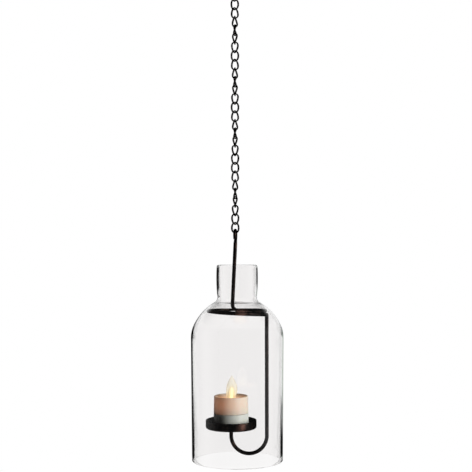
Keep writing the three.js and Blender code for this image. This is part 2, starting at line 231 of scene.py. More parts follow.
def oiled_bronze(name, dark, brown, copper, painted_highlight_spots):
    """Near-black patina over bronze, worn to brown in blotches, with painted copper highlights near the
    given points.
    """
    made, shader, where = material(name)
    blotch = shader.ramp(shader.noise(where, 240, 6), 0.45, 0.72)
    grain = shader.noise(where, 2600, 3)
    share = shader.math("MULTIPLY", blotch, shader.ramp(grain, 0.25, 0.6))
    colour = shader.blend(share, dark, brown)
    # painted highlights: copper blended in around each given point, broken up by the grain
    for point, radius in painted_highlight_spots:
        painted_highlight = shader.math("MULTIPLY", shader.near(where, point, radius), shader.ramp(grain, 0.2, 0.5))
        colour = shader.blend(painted_highlight, colour, copper)
    rough = shader.ramp(shader.noise(where, 700, 4), 0.3, 0.7, 0.3, 0.46)
    surface(shader, Base_Color=colour, Metallic=1.0, Roughness=rough,
            Specular_Tint=(0.25, 0.23, 0.22, 1), Normal=shader.bump(grain, 0.25, 0.00012))
    return made


def blackened_steel():
    made, shader, where = material("blackened_steel")
    grain = shader.noise(where, 3200, 4)
    patch = shader.ramp(shader.noise(where, 420, 5), 0.45, 0.75)
    colour = shader.blend(patch, (0.006, 0.006, 0.006, 1), (0.022, 0.018, 0.016, 1))
    surface(shader, Base_Color=colour, Metallic=1.0, Roughness=shader.ramp(grain, 0.3, 0.7, 0.34, 0.5),
            Specular_Tint=(0.2, 0.2, 0.2, 1), Normal=shader.bump(grain, 0.3, 0.0001))
    return made


def blown_glass():
    """Clear glass with the faint waves and film of a hand-blown chimney. Lamps shine through it."""
    made, shader, where = material("blown_glass")
    stretched = shader.add("Mapping", {"Vector": where, "Scale": (1.0, 1.0, 0.25)})
    waves = shader.noise(stretched, 34, 2)
    film = shader.noise(where, 16, 5)
    glass = shader.add("BsdfPrincipled", {
        "Base Color": shader.blend(film, (0.984, 0.976, 0.974, 1), (0.994, 0.986, 0.984, 1)),
        "Roughness": shader.ramp(film, 0.55, 0.9, 0.0, 0.04),
        "IOR": 1.47,
        "Transmission Weight": 1.0,
        "Normal": shader.bump(waves, 0.2, 0.0006),
    })
    path = shader.tree.nodes.new("ShaderNodeLightPath")
    lamps = shader.math("MAXIMUM", path.outputs["Is Shadow Ray"], path.outputs["Is Diffuse Ray"])
    clear = shader.add("BsdfTransparent", {"Color": (0.95, 0.96, 0.955, 1)})
    both = shader.add("MixShader", {0: lamps, 1: glass, 2: clear})
    shader.add("OutputMaterial", {"Surface": both})
    return made


def ivory_wax():
    """Translucent warm ivory, with a painted glow where the lamp inside is close."""
    made, shader, where = material("ivory_wax")
    cloud = shader.noise(where, 120, 5)
    # painted glow: emission colour and strength set by the distance to the wick's dish and to a point by the
    # lamp inside
    wick = CANDLE + Vector((0, 0, CANDLE_HEIGHT - 0.002))
    dish = shader.near(where, wick, 0.019)
    lamp = shader.near(where, CANDLE + Vector((-0.001, -0.004, CANDLE_HEIGHT - 0.007)), 0.024)
    colour = shader.blend(cloud, (0.52, 0.465, 0.40, 1), (0.57, 0.525, 0.46, 1))
    glow = shader.math("ADD", shader.math("MULTIPLY", dish, 0.85), shader.math("MULTIPLY", lamp, 0.80))
    surface(shader, Base_Color=colour, Roughness=shader.ramp(cloud, 0.3, 0.7, 0.42, 0.56),
            Subsurface_Weight=0.3, Subsurface_Radius=(0.004, 0.002, 0.0012), Subsurface_Scale=1.0,
            Specular_IOR_Level=0.2,
            Emission_Color=shader.blend(dish, (1.0, 0.38, 0.16, 1), (1.0, 0.74, 0.42, 1)),
            Emission_Strength=glow, Normal=shader.bump(shader.noise(where, 900, 3), 0.2, 0.00015))
    return made


def frosted_flame():
    """Frosted translucent plastic with a painted inner glow: warmest and brightest low down, paler at the
    tip.
    """
    made, shader, where = material("frosted_flame")
    height = shader.add("SeparateXYZ", {0: where}, "Z")
    low = CANDLE.z + CANDLE_HEIGHT
    rise = shader.ramp(height, low, low + 0.02)
    frost = shader.noise(where, 1800, 3)
    # painted glow: base colour and emission ramp with height above the candle's top
    surface(shader, Base_Color=shader.blend(rise, (0.94, 0.87, 0.68, 1), (0.94, 0.92, 0.84, 1)),
            Roughness=shader.ramp(frost, 0.3, 0.7, 0.36, 0.5), IOR=1.22, Transmission_Weight=0.92,
            Emission_Color=shader.blend(rise, (1.0, 0.84, 0.54, 1), (1.0, 0.95, 0.80, 1)),
            Emission_Strength=shader.ramp(height, low - 0.002, low + 0.010, 0.13, 0.06),
            Normal=shader.bump(frost, 0.2, 0.00008))
    return made


def glowing(name, cool, hot, strength):
    made, shader, where = material(name)
    flicker = shader.noise(where, 300, 3)
    surface(shader, Base_Color=shader.blend(flicker, cool, hot), Roughness=0.3,
            Emission_Color=shader.blend(flicker, cool, hot), Emission_Strength=strength)
    return made


def moulded(name, colour, other, rough, clear=0.0):
    """Moulded plastic with a fine spark-eroded skin, a little translucent where clear is over 0."""
    made, shader, where = material(name)
    skin = shader.noise(where, 3800, 2)
    flow = shader.noise(where, 90, 4)
    surface(shader, Base_Color=shader.blend(flow, colour, other),
            Roughness=shader.ramp(skin, 0.3, 0.7, rough - 0.08, rough + 0.08),
            Subsurface_Weight=clear, Subsurface_Radius=(0.0015, 0.0015, 0.001), Subsurface_Scale=1.0,
            Specular_IOR_Level=0.25,
            Normal=shader.bump(skin, 0.25, 0.00006))
    return made


def brushed(name, colour, other, axis_scale):
    """Bright sheet metal with fine lines drawn along one axis."""
    made, shader, where = material(name)
    lines = shader.noise(shader.add("Mapping", {"Vector": where, "Scale": axis_scale}), 900, 4)
    surface(shader, Base_Color=shader.blend(lines, colour, other), Metallic=0.95,
            Roughness=shader.ramp(lines, 0.3, 0.7, 0.2, 0.38), Normal=shader.bump(lines, 0.2, 0.00004))
    return made


def solder_mask():
    """Green board lacquer over a pattern of copper lands."""
    made, shader, where = material("solder_mask")
    tracks = shader.add("TexVoronoi", {"Vector": where, "Scale": 320.0}, feature="DISTANCE_TO_EDGE")
    land = shader.ramp(tracks, 0.05, 0.09)
    colour = shader.blend(land, (0.005, 0.060, 0.022, 1), (0.012, 0.115, 0.045, 1))
    surface(shader, Base_Color=colour, Roughness=shader.ramp(shader.noise(where, 500), 0.3, 0.7, 0.24, 0.36),
            Normal=shader.bump(land, 0.3, 0.00003))
    return made


def studio_floor():
    """Matte pale paper that fades into the backdrop at its edge."""
    made, shader, where = material("studio_floor")
    away = shader.add("VectorMath", {0: where}, 1, operation="LENGTH")
    fibres = shader.noise(where, 260, 4)
    paper = shader.add("BsdfPrincipled", {
        "Base Color": shader.blend(fibres, (0.86, 0.86, 0.85, 1), (0.89, 0.885, 0.88, 1)),
        "Roughness": 0.9,
        "Normal": shader.bump(fibres, 0.1, 0.0003),
    })
    clear = shader.add("BsdfTransparent")
    edge = shader.ramp(away, FLOOR_R * 0.55, FLOOR_R * 0.98)
    both = shader.add("MixShader", {0: edge, 1: paper, 2: clear})
    shader.add("OutputMaterial", {"Surface": both})
    return made


# ---- Meshes ----

pieces = []


def finished(name, bm, made, body, replaces=(), sharp=35):
    """Turns a closed bmesh into a smooth-shaded piece that rides on a body."""
    bmesh.ops.recalc_face_normals(bm, faces=bm.faces)
    mesh = bpy.data.meshes.new(name)
    bm.to_mesh(mesh)
    bm.free()
    mesh.shade_smooth()
    mesh.set_sharp_from_angle(angle=math.radians(sharp))
    mesh.materials.append(made)
    piece = bpy.data.objects.new(name, mesh)
    bpy.context.scene.collection.objects.link(piece)
    return attached(piece, body, replaces)


def attached(piece, body, replaces=()):
    """Hangs the piece on its body and notes it in the list of pieces."""
    pieces.append(piece)
    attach(piece, body)
    if replaces:
        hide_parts(*replaces)
    return piece


def moved(bm, offset):
    bmesh.ops.translate(bm, vec=offset, verts=bm.verts)
    return bm


def turned(profile, steps=128):
    """A solid turned about Z. The profile's [radius, height] points end on the axis or close up."""
    bm = bmesh.new()
    rings = []
    for radius, height in profile:
        if radius < 1e-7:
            rings.append([bm.verts.new((0, 0, height))] * steps)
            continue
        turns = [2 * math.pi * i / steps for i in range(steps)]
        rings.append([bm.verts.new((radius * math.cos(t), radius * math.sin(t), height)) for t in turns])
    on_axis = profile[0][0] < 1e-7
    pairs = zip(rings, rings[1:] if on_axis else rings[1:] + rings[:1])
    for near, far in pairs:
        for i in range(steps):
            j = (i + 1) % steps
            corners = list(dict.fromkeys((near[i], near[j], far[j], far[i])))
            if len(corners) > 2:
                bm.faces.new(corners)
    return bm


def rounded(corners, steps=5):
    """A profile with its corners filleted: each is (radius, height) or (radius, height, fillet)."""
    points = []
    last = len(corners) - 1
    for i, corner in enumerate(corners):
        here = Vector(corner[:2])
        fillet = corner[2] if len(corner) > 2 else 0
        if not fillet:
            points.append(tuple(here))
            continue
        before = (Vector(corners[i - 1][:2]) - here).normalized()
        after = (Vector(corners[0 if i == last else i + 1][:2]) - here).normalized()
        half = before.angle(after) / 2
        reach = fillet / math.tan(half)
        centre = here + (before + after).normalized() * (fillet / math.sin(half))
        start, end = here + before * reach - centre, here + after * reach - centre
        swing = start.angle_signed(end)
        for step in range(steps + 1):
            arm = start.copy()
            arm.rotate(Matrix.Rotation(-swing * step / steps, 2))
            points.append(tuple(centre + arm))
    return points


def arc(x, z, radius, start, end, steps):
    turns = [start + (end - start) * i / steps for i in range(steps + 1)]
    return [(x + radius * math.cos(t), z + radius * math.sin(t)) for t in turns]


def tube(path, radii, sides=24, closed=False):
    """A round bar along a path of points. radii is one radius, or one for each point."""
    count = len(path)
    if not hasattr(radii, "__len__"):
        radii = [radii] * count
    bm = bmesh.new()
    if closed:
        tangents = [(path[(i + 1) % count] - path[i - 1]).normalized() for i in range(count)]
    else:
        ends = [path[0]] + list(path) + [path[-1]]
        tangents = [(ends[i + 2] - ends[i]).normalized() for i in range(count)]
    side = tangents[0].orthogonal().normalized()
    sections = []
    for i in range(count):
        if i:
            side = tangents[i - 1].rotation_difference(tangents[i]) @ side
            side = (side - tangents[i] * side.dot(tangents[i])).normalized()
        up = tangents[i].cross(side)
        turns = [2 * math.pi * k / sides for k in range(sides)]
        section = [path[i] + (side * math.cos(t) + up * math.sin(t)) * radii[i] for t in turns]
        sections.append([bm.verts.new(point) for point in section])
    shift = 0
    if closed:
        back = tangents[-1].rotation_difference(tangents[0]) @ side
        first = (sections[0][0].co - path[0]).normalized()
        twist = math.atan2(first.dot(tangents[0].cross(back)), first.dot(back))
        shift = round(twist / (2 * math.pi) * sides)
    for i in range(count if closed else count - 1):
        near, far = sections[i], sections[(i + 1) % count]
        step = shift if closed and i == count - 1 else 0
        for k in range(sides):
            a, b = (k + step) % sides, (k + step + 1) % sides
            if step:
                bm.faces.new((near[a], near[b], far[(k + 1) % sides], far[k]))
            else:
                bm.faces.new((near[k], near[(k + 1) % sides], far[(k + 1) % sides], far[k]))
    if not closed:
        bm.faces.new(sections[0])
        bm.faces.new(sections[-1])
    return bm


def rounded_ends(path, radius, edge, steps=4):
    """Adds a small round to both cut ends of a wire: returns the longer path and its radii."""
    start = (path[0] - path[1]).normalized()
    end = (path[-1] - path[-2]).normalized()
    turns = [math.pi / 2 * i / steps for i in range(1, steps + 1)]
    tails = [(edge * math.sin(t), radius - edge * (1 - math.cos(t))) for t in turns]
    before = [path[0] + start * (out - edge) for out, _ in reversed(tails)]
    after = [path[-1] + end * (out - edge) for out, _ in tails]
    trimmed = [path[0] - start * edge] + list(path[1:-1]) + [path[-1] - end * edge]
    radii = [r for _, r in reversed(tails)] + [radius] * len(trimmed) + [r for _, r in tails]
    return before + trimmed + after, radii


def block(size, centre, bevel=0.0, segments=2):
    bm = bmesh.new()
    bmesh.ops.create_cube(bm, size=1)
    bmesh.ops.scale(bm, vec=size, verts=bm.verts)
    if bevel:
        bmesh.ops.bevel(bm, geom=bm.edges[:], offset=bevel, segments=segments, profile=0.5, affect="EDGES")
    return moved(bm, centre)


def prism(outline, height, bottom):
    """An outline of [x, y] points raised along Z."""
    bm = bmesh.new()
    face = bm.faces.new([bm.verts.new((x, y, bottom)) for x, y in outline])
    raised = bmesh.ops.extrude_face_region(bm, geom=[face])["geom"]
    top = [part for part in raised if isinstance(part, bmesh.types.BMVert)]
    bmesh.ops.translate(bm, vec=(0, 0, height), verts=top)
    return bm


def sector(inner, outer, centre, half, bottom, height):
    """A slice of a round band."""
    outline = arc(0, 0, outer, centre - half, centre + half, 10)
    outline += arc(0, 0, inner, centre + half, centre - half, 10)
    return prism(outline, height, bottom)


def combined(bm, others, operation):
    """The bmesh joined with the others, or cut by them."""
    meshes = []
    for source in [bm, *others]:
        bmesh.ops.recalc_face_normals(source, faces=source.faces)
        mesh = bpy.data.meshes.new("part")
        source.to_mesh(mesh)
        source.free()
        meshes.append(mesh)
    objects = [bpy.data.objects.new("part", mesh) for mesh in meshes]
    for part in objects:
        bpy.context.scene.collection.objects.link(part)
    whole = objects[0]
    for part in objects[1:]:
        modifier = whole.modifiers.new("part", "BOOLEAN")
        modifier.object = part
        modifier.operation = operation
        modifier.solver = "EXACT"
    bpy.context.view_layer.update()
    result = bpy.data.meshes.new_from_object(whole.evaluated_get(bpy.context.evaluated_depsgraph_get()))
    made = bmesh.new()
    made.from_mesh(result)
    bmesh.ops.remove_doubles(made, verts=made.verts, dist=1e-7)
    for part in objects:
        bpy.data.objects.remove(part)
    for mesh in [*meshes, result]:
        bpy.data.meshes.remove(mesh)
    return made


# ---- Camera, world, lights and floor ----


def add_camera():
    data = bpy.data.cameras.new("camera")
    data.lens = CAMERA_LENS
    camera = bpy.data.objects.new("camera", data)
    camera.location = (CAMERA_X, -CAMERA_DISTANCE, CAMERA_Z)
    camera.rotation_euler = (math.pi / 2, CAMERA_ROLL, 0)
    bpy.context.scene.collection.objects.link(camera)
    bpy.context.scene.camera = camera
    bpy.context.scene.view_settings.view_transform = "Standard"


def studio_world():
    """White where it is seen, and a soft room lit from the right for matte surfaces. Mirrored rays
    find pale walls behind the object that darken to both sides, near-black overhead and behind the
    camera, and the dark panels that draw the glass's edges. The panels are placed for this camera."""
    world = bpy.data.worlds.new("studio")
    bpy.context.scene.world = world
    world.use_nodes = True
    shader = Shader(world.node_tree)
    direction = shader.add("TexCoord", output="Generated")
    axes = shader.tree.nodes.new("ShaderNodeSeparateXYZ")
    shader.tree.links.new(direction, axes.inputs[0])
    x, y, z = axes.outputs
    azimuth = shader.math("ARCTAN2", x, y)  # 0 behind the object, positive to the right
    elevation = shader.math("ARCSINE", z)

    def window(value, low, high, soft):
        low, high, soft = (math.radians(a) for a in (low, high, soft))
        rise = shader.ramp(value, low - soft, low + soft)
        fall = shader.ramp(value, high - soft, high + soft, 1.0, 0.0)
        return shader.math("MULTIPLY", rise, fall)

    def panel(across, up, soft, soft_up):
        return shader.math("MULTIPLY", window(azimuth, *across, soft), window(elevation, *up, soft_up))

    aside = shader.math("ABSOLUTE", azimuth)
    sides = shader.ramp(aside, math.radians(80), math.radians(135), 1.0, 0.0)
    wall = shader.blend(shader.ramp(aside, math.radians(32), math.radians(72)), grey(0.95), grey(0.46))
    overhead = shader.ramp(elevation, math.radians(16), math.radians(40), 1.0, 0.0)
    underfoot = shader.ramp(elevation, math.radians(-30), math.radians(-17), 1.0, 0.0)
    mirrored = shader.blend(shader.math("MULTIPLY", sides, overhead), grey(0.04), wall)
    mirrored = shader.blend(underfoot, mirrored, grey(0.8))
    panels = (  # across and up in degrees, how soft across and up, and the colour
        ((1, 25), (-9.9, -3.4), 2.0, 0.6, (0.50, 0.56, 0.51, 1)),  # right of the body
        ((1, 38), (-18, -10.0), 2.0, 0.6, grey(0.005)),  # right of the rim
        ((1, 36), (-3.7, 0.5), 2.0, 1.0, grey(0.02)),  # right of the neck
        ((-54, -1), (-5.2, 1.5), 4, 0.8, grey(0.03)),  # left of the neck
        ((-38, -1), (-18, -9.6), 2.0, 0.8, grey(0.005)),  # left of the rim
        ((-31, 0), (-17, 5), 1.5, 3.0, grey(0.005)),  # left of the body and shoulder
    )
    for across, up, soft, soft_up, colour in panels:
        mirrored = shader.blend(panel(across, up, soft, soft_up), mirrored, colour)
    room = shader.blend(shader.ramp(x, 0.1, 1.0), grey(0.02), grey(0.46))

    path = shader.tree.nodes.new("ShaderNodeLightPath")
    seen = shader.math("MAXIMUM", path.outputs["Is Camera Ray"], path.outputs["Is Transmission Ray"])
    by_mirror = shader.math("GREATER_THAN", path.outputs["Glossy Depth"], 0.5)
    colour = shader.blend(by_mirror, shader.blend(seen, room, grey(1.0)), mirrored)
    light = shader.add("Background", {"Color": colour})
    shader.add("OutputWorld", {"Surface": light})
    world.cycles.sampling_method = "NONE"


def add_lamp(name, place, target, size, power, colour, receivers=()):
    """A soft box. With receivers, it lights and is mirrored by those pieces only."""
    data = bpy.data.lights.new(name, "AREA")
    data.shape = "RECTANGLE"
    data.size, data.size_y = size
    data.energy = power
    data.color = colour
    lamp = bpy.data.objects.new(name, data)
    lamp.location = place
    lamp.rotation_euler = (target - lamp.location).to_track_quat("-Z", "Y").to_euler()
    lamp.visible_camera = False
    lamp.visible_glossy = bool(receivers)
    lamp.visible_transmission = False
    bpy.context.scene.collection.objects.link(lamp)
    if receivers:
        lit = bpy.data.collections.new(name)
        for piece in receivers:
            lit.objects.link(piece)
        lamp.light_linking.receiver_collection = lit


def add_floor():
    bm = bmesh.new()
    bmesh.ops.create_circle(bm, cap_ends=True, segments=96, radius=FLOOR_R)
    mesh = bpy.data.meshes.new("floor")
    bm.to_mesh(mesh)
    bm.free()
    mesh.materials.append(studio_floor())
    floor = bpy.data.objects.new("floor", mesh)
    floor.location.z = FLOOR_Z
    bpy.context.scene.collection.objects.link(floor)
    above, below = Vector((0, 0, FLOOR_LIGHT_Z)), Vector((0, 0, FLOOR_Z))
    add_lamp("floor_light", above, below, FLOOR_LIGHT_SIZE, FLOOR_LIGHT_POWER, (1.0, 1.0, 1.0), [floor])


# ---- Hook and chain ----


def hook_path(crook_z):
    crown_z = HOOK_WIRE / 2 - HOOK_CROWN_R
    crook_centre = crook_z + HOOK_CROOK_R
    slant = math.asin((HOOK_CROWN_R + HOOK_CROOK_R) / (crown_z - crook_centre))
    over = arc(0, crown_z, HOOK_CROWN_R, math.pi + HOOK_END_ANGLE, -slant, 40)
    under = arc(0, crook_centre, HOOK_CROOK_R, math.pi - slant, 2 * math.pi + HOOK_END_ANGLE, 40)
    return [Vector((0, y, z)) for y, z in over + under]


def add_hook(made):
    crook_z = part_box("hook")[0].z + HOOK_WIRE / 2
    path, radii = rounded_ends(hook_path(crook_z), HOOK_WIRE / 2, 0.0005)
    finished("s_hook", tube(path, radii), made, "hook", ["hook"], 50)


def link_mesh(made):
    """One oval link, twisted as it rises, with the closed seam of its wire in one leg."""
    steps = 96
    bow_r = LINK_WIDTH / 2
    bow_z = LINK_LENGTH / 2 - bow_r
    path, radii = [], []
    for i in range(steps):
        angle = 2 * math.pi * i / steps
        across = bow_r * math.cos(angle)
        up = bow_r * math.sin(angle) + bow_z * math.tanh(2.2 * math.sin(angle)) / math.tanh(2.2)
        turn = LINK_TWIST * up / LINK_LENGTH
        path.append(Vector((across * math.cos(turn), across * math.sin(turn), up)))
        radius = LINK_WIRE / 2 + LEG_SWELL * math.cos(angle) ** 4
        from_seam = min(i, steps - i)
        radii.append(radius * (1 - SEAM_DEPTH * math.exp(-(from_seam / 0.8) ** 2)))
    bm = tube(path, radii, 16, closed=True)
    bmesh.ops.recalc_face_normals(bm, faces=bm.faces)
    mesh = bpy.data.meshes.new("twisted_link")
    bm.to_mesh(mesh)
    bm.free()
    mesh.shade_smooth()
    mesh.materials.append(made)
    return mesh


def add_chain(made):
    mesh = link_mesh(made)
    for number, node in enumerate(LINKS, start=1):
        steps_up = len(LINKS) - number
        slack = min(steps_up, SLACK_LINKS)
        turn = LOWEST_LINK_TURN - slack * SLACK_STEP - (steps_up - slack) * LINK_STEP
        piece = bpy.data.objects.new(f"twisted_{node}", mesh)
        piece.location = (0, 0, middle(node).z)
        piece.rotation_euler = (0, 0, turn)
        bpy.context.scene.collection.objects.link(piece)
        attached(piece, node, [node])


# ---- Wire frame and tray ----


def smoothstep(value, low, high):
    share = min(max((value - low) / (high - low), 0), 1)
    return share * share * (3 - 2 * share)


def bend(before, corner, after, radius, steps=14):
    """The arc that joins two straight runs at a corner."""
    arriving = (corner - before).normalized()
    leaving = (after - corner).normalized()
    angle = arriving.angle(leaving)
    start = corner - arriving * radius * math.tan(angle / 2)
    centre = corner + (leaving - arriving).normalized() * radius / math.cos(angle / 2)
    axis = arriving.cross(leaving).normalized()
    arm = start - centre
    return [centre + Quaternion(axis, angle * i / steps) @ arm for i in range(steps + 1)]


def eye_path():
    """The hanging eye: an oval loop in an upright plane, then the stem coming back under it."""
    centre_z = EYE_TOP_Z - FRAME_WIRE / 2 - EYE_HALF_HEIGHT

    def place(across, z):
        return Vector((across * math.cos(EYE_TURN) - GLASS_AXIS.x, across * math.sin(EYE_TURN), z))

    points = []
    for i in range(49):
        angle = EYE_END_ANGLE + (math.pi / 2 - EYE_END_ANGLE) * i / 48
        across = EYE_HALF_WIDTH * math.sin(angle)
        points.append(place(across, centre_z - EYE_HALF_HEIGHT * math.cos(angle)))
    for i in range(1, 17):
        z = centre_z + (STEM_TOP_Z - centre_z) * i / 16
        points.append(place(EYE_HALF_WIDTH * smoothstep(z, STEM_TOP_Z, centre_z), z))
    return points


def ring_point(turn):
    """The ring that carries the glass sinks below its own start over its second half turn."""
    sunk = max(0, turn / math.pi - 1) ** 2
    radius = RING_R + (ROD_X - RING_R) * sunk
    return Vector((radius * math.cos(turn), radius * math.sin(turn), RING_Z - RING_DROP * sunk))


def frame_path():
    """The bent wire's centreline, from the eye's free end to the tray. Its heights are worked out from
    the top of the neck, and the whole is moved there at the end."""
    eye = eye_path()
    stem_corner = Vector((STEM_BOTTOM_X, 0, RING_Z))
    spoke_corner = Vector((RING_R / math.cos(RING_END_ANGLE), 0, RING_Z))
    steps = 120
    sweep = 2 * math.pi - 2 * RING_END_ANGLE
    ring = [ring_point(RING_END_ANGLE + sweep * i / steps) for i in range(steps + 1)]
    rod_top = Vector((ROD_X, 0, RING_Z - RING_DROP))
    tray_x = TRAY.x - LANTERN.x
    turn_r = (ROD_X - tray_x) / 2
    turn_z = TURN_BOTTOM_Z + turn_r
    turn_back = [Vector((x, 0, z)) for x, z in arc(tray_x + turn_r, turn_z, turn_r, 0, -math.pi, 48)]
    tray_end = Vector((tray_x, 0, TRAY.z - LANTERN.z - GAP))
    path = eye + bend(eye[-1], stem_corner, spoke_corner, STEM_BEND)
    path += bend(stem_corner, spoke_corner, ring[0], RING_END_BEND) + ring
    path += bend(ring[-1], rod_top, turn_back[0], RING_END_BEND) + turn_back + [tray_end]
    return [point + LANTERN for point in path]


def spaced(path, longest=0.004):
    """The path with no step longer than the given one, and no point repeated."""
    points = [path[0]]
    for point in path[1:]:
        step = (point - points[-1]).length
        if step < 1e-6:
            continue
        start, parts = points[-1], math.ceil(step / longest)
        points += [start.lerp(point, i / parts) for i in range(1, parts + 1)]
    return points


def add_frame(made, pan):
    path, radii = rounded_ends(spaced(frame_path()), FRAME_WIRE / 2 + FRAME_EXTRA, 0.0006)
    eye_bottom = LANTERN.z + STEM_TOP_Z
    for i, point in enumerate(path):
        radii[i] -= FRAME_EXTRA * smoothstep(point.z, eye_bottom, eye_bottom + 0.006)
    finished("bent_wire", tube(path, radii), made, "frame", ["wire_frame"], 50)

    wire_r = FRAME_WIRE / 2
    flare = [(0.00005, -0.0042), (0.0002, -0.0030), (0.0007, -0.0018), (0.0016, -0.0008), (0.0028, -0.0002)]
    bead = [(0, flare[0][1])] + [(wire_r + out, z) for out, z in flare] + [(wire_r + 0.003, 0), (0, 0)]
    weld = moved(turned(bead, 48), TRAY)
    finished("weld_bead", weld, made, "frame", (), 60)

    inner = TRAY_R - TRAY_WALL
    profile = rounded([
        (0, 0),
        (TRAY_R, 0, TRAY_CORNER),
        (TRAY_R, TRAY_HEIGHT, TRAY_LIP / 2),
        (inner + 0.0002, TRAY_HEIGHT, TRAY_LIP / 2),
        (inner, TRAY_WALL, TRAY_CORNER - 0.0008),
        (0, TRAY_WALL),
    ], 7)
    tray = moved(turned(profile, 160), TRAY)
    finished("tray_pan", tray, pan, "frame", ["tray"], 60)


# ---- Glass ----


def glass_outline():
    """The glass's outer face: [radius, height] points from the neck's lip down to the rim."""
    hip_r = BODY_R - HIP_ARC
    start = math.acos((NECK_CREASE_R + 0.002 - SHOULDER_R) / SHOULDER_ARC)
    join = math.atan2(HIP_Z - SHOULDER_Z, hip_r - SHOULDER_R)
    taper = math.atan2(BODY_R - RIM_R, GLASS_HEIGHT + HIP_Z)
    shoulder_top = arc(SHOULDER_R, SHOULDER_Z, SHOULDER_ARC, start, start, 1)[0]
    neck = []
    steps = 36
    for i in range(steps + 1):
        share = i / steps
        bulge = math.sin(math.pi * min(1, share / 0.95)) ** 0.55 if share < 0.95 else 0
        base = NECK_TOP_R + (NECK_CREASE_R - NECK_TOP_R) * share
        lift = NECK_BULGE_R - (NECK_TOP_R + NECK_CREASE_R) / 2
        neck.append((base + lift * bulge, -NECK_HEIGHT * share))
    crease = neck[-1]
    fillet = []
    for i in range(1, 8):
        share = i / 8
        fillet.append((
            crease[0] + (shoulder_top[0] - crease[0]) * share ** 1.5,
            crease[1] + (shoulder_top[1] - crease[1]) * share,
        ))
    shoulder = arc(SHOULDER_R, SHOULDER_Z, SHOULDER_ARC, start, join, 40)
    hip = arc(hip_r, HIP_Z, HIP_ARC, join, -taper, 20)[1:]
    steps = 24
    end = (RIM_R, -GLASS_HEIGHT)
    wall = [tuple(Vector(hip[-1]).lerp(Vector(end), i / steps)) for i in range(1, steps + 1)]
    return neck + fillet + shoulder + hip + wall


def wall_at(z):
    """The wall is thick in the neck, thinnest on the shoulder, and gathers again towards the rim."""
    wall = NECK_WALL + (SHOULDER_WALL - NECK_WALL) * smoothstep(-z, NECK_HEIGHT * 0.9, NECK_HEIGHT + 0.010)
    wall += (BODY_WALL - SHOULDER_WALL) * smoothstep(-z, NECK_HEIGHT + 0.025, -HIP_Z)
    return wall + (RIM_WALL - BODY_WALL) * smoothstep(-z, GLASS_HEIGHT - 0.11, GLASS_HEIGHT - 0.004)


def edge_round(tip, out, wall, flatness, steps=12):
    """Over an edge of the glass from the outer face to the inner one: half a circle at flatness 1,
    and closer to a flat cut with soft corners below that."""
    centre = tip + Vector((-wall / 2, 0)) - out * wall / 2
    points = []
    for i in range(1, steps):
        turn = math.pi * i / steps
        across = math.copysign(abs(math.cos(turn)) ** flatness, math.cos(turn))
        points.append(tuple(centre + (Vector((across, 0)) + out * math.sin(turn) ** flatness) * wall / 2))
    return points


def add_glass(made):
    outer = [Vector(point) for point in glass_outline()]
    inner = []
    for i, point in enumerate(outer):
        before, after = outer[max(i - 1, 0)], outer[min(i + 1, len(outer) - 1)]
        along = (after - before).normalized()
        inwards = Vector((along.y, -along.x))
        inner.append(point + inwards * wall_at(point.y))
    top, bottom = wall_at(0), wall_at(-GLASS_HEIGHT)
    outer = [p for p in outer if -GLASS_HEIGHT + bottom / 2 < p.y < -top / 2]
    inner = [p for p in inner if -GLASS_HEIGHT + bottom / 2 < p.y < -top / 2]
    profile = [tuple(p) for p in outer]
    profile += edge_round(Vector((RIM_R, -GLASS_HEIGHT)), Vector((0, -1)), bottom, 0.7)
    profile += [tuple(p) for p in reversed(inner)]
    profile += list(reversed(edge_round(Vector((NECK_TOP_R, 0)), Vector((0, 1)), top, 0.5)))
    glass = moved(turned(profile, 192), LANTERN)
    finished("blown_chimney", glass, made, "glass", ["glass_chimney"], 80)


# ---- Tealight ----


def candle_r(z):
    return CANDLE_BASE_R + (CANDLE_TOP_R - CANDLE_BASE_R) * z / CANDLE_HEIGHT


def add_shell(made):
    """The upper shell, dished like melted wax, with a hole for the flame."""
    bottom = CANDLE_SEAM_Z + GAP / 2
    top = CANDLE_HEIGHT
    inside = SPIGOT_R + GAP
    dish = []
    steps = 24
    for i in range(steps + 1):
        share = i / steps
        radius = (CANDLE_TOP_R - 0.0014) + (WICK_HOLE_R + 0.0004 - CANDLE_TOP_R + 0.0014) * share
        depth = 0.0036 * (1 - (1 - share) ** 2.2) + 0.0003 * share
        dish.append((radius, top - 0.0002 - depth))
    corners = [
        (inside, bottom),
        (candle_r(bottom), bottom, 0.0003),
        (candle_r(top), top, 0.0006),
        (CANDLE_TOP_R - 0.0013, top, 0.0004),
        *dish,
        (WICK_HOLE_R, top - 0.0044),
        (WICK_HOLE_R, top - 0.0055),
        (CANDLE_TOP_R - 0.006, top - 0.0052),
        (inside - 0.001, top - 0.0050),
        (inside, top - 0.0058),
    ]
    profile = rounded(corners, 6)
    shell = moved(turned(profile, 160), CANDLE)
    for vertex in shell.verts:  # faint waves on the dish
        place = vertex.co - CANDLE
        out, turn = math.hypot(place.x, place.y), math.atan2(place.y, place.x)
        if place.z > top - 0.006 and out < CANDLE_TOP_R - 0.001:
            vertex.co.z += WAX_WAVE * math.sin(3 * turn + 1) * math.sin(900 * out)
    finished("wax_shell", shell, made, "candle", ["candle_shell"], 50)


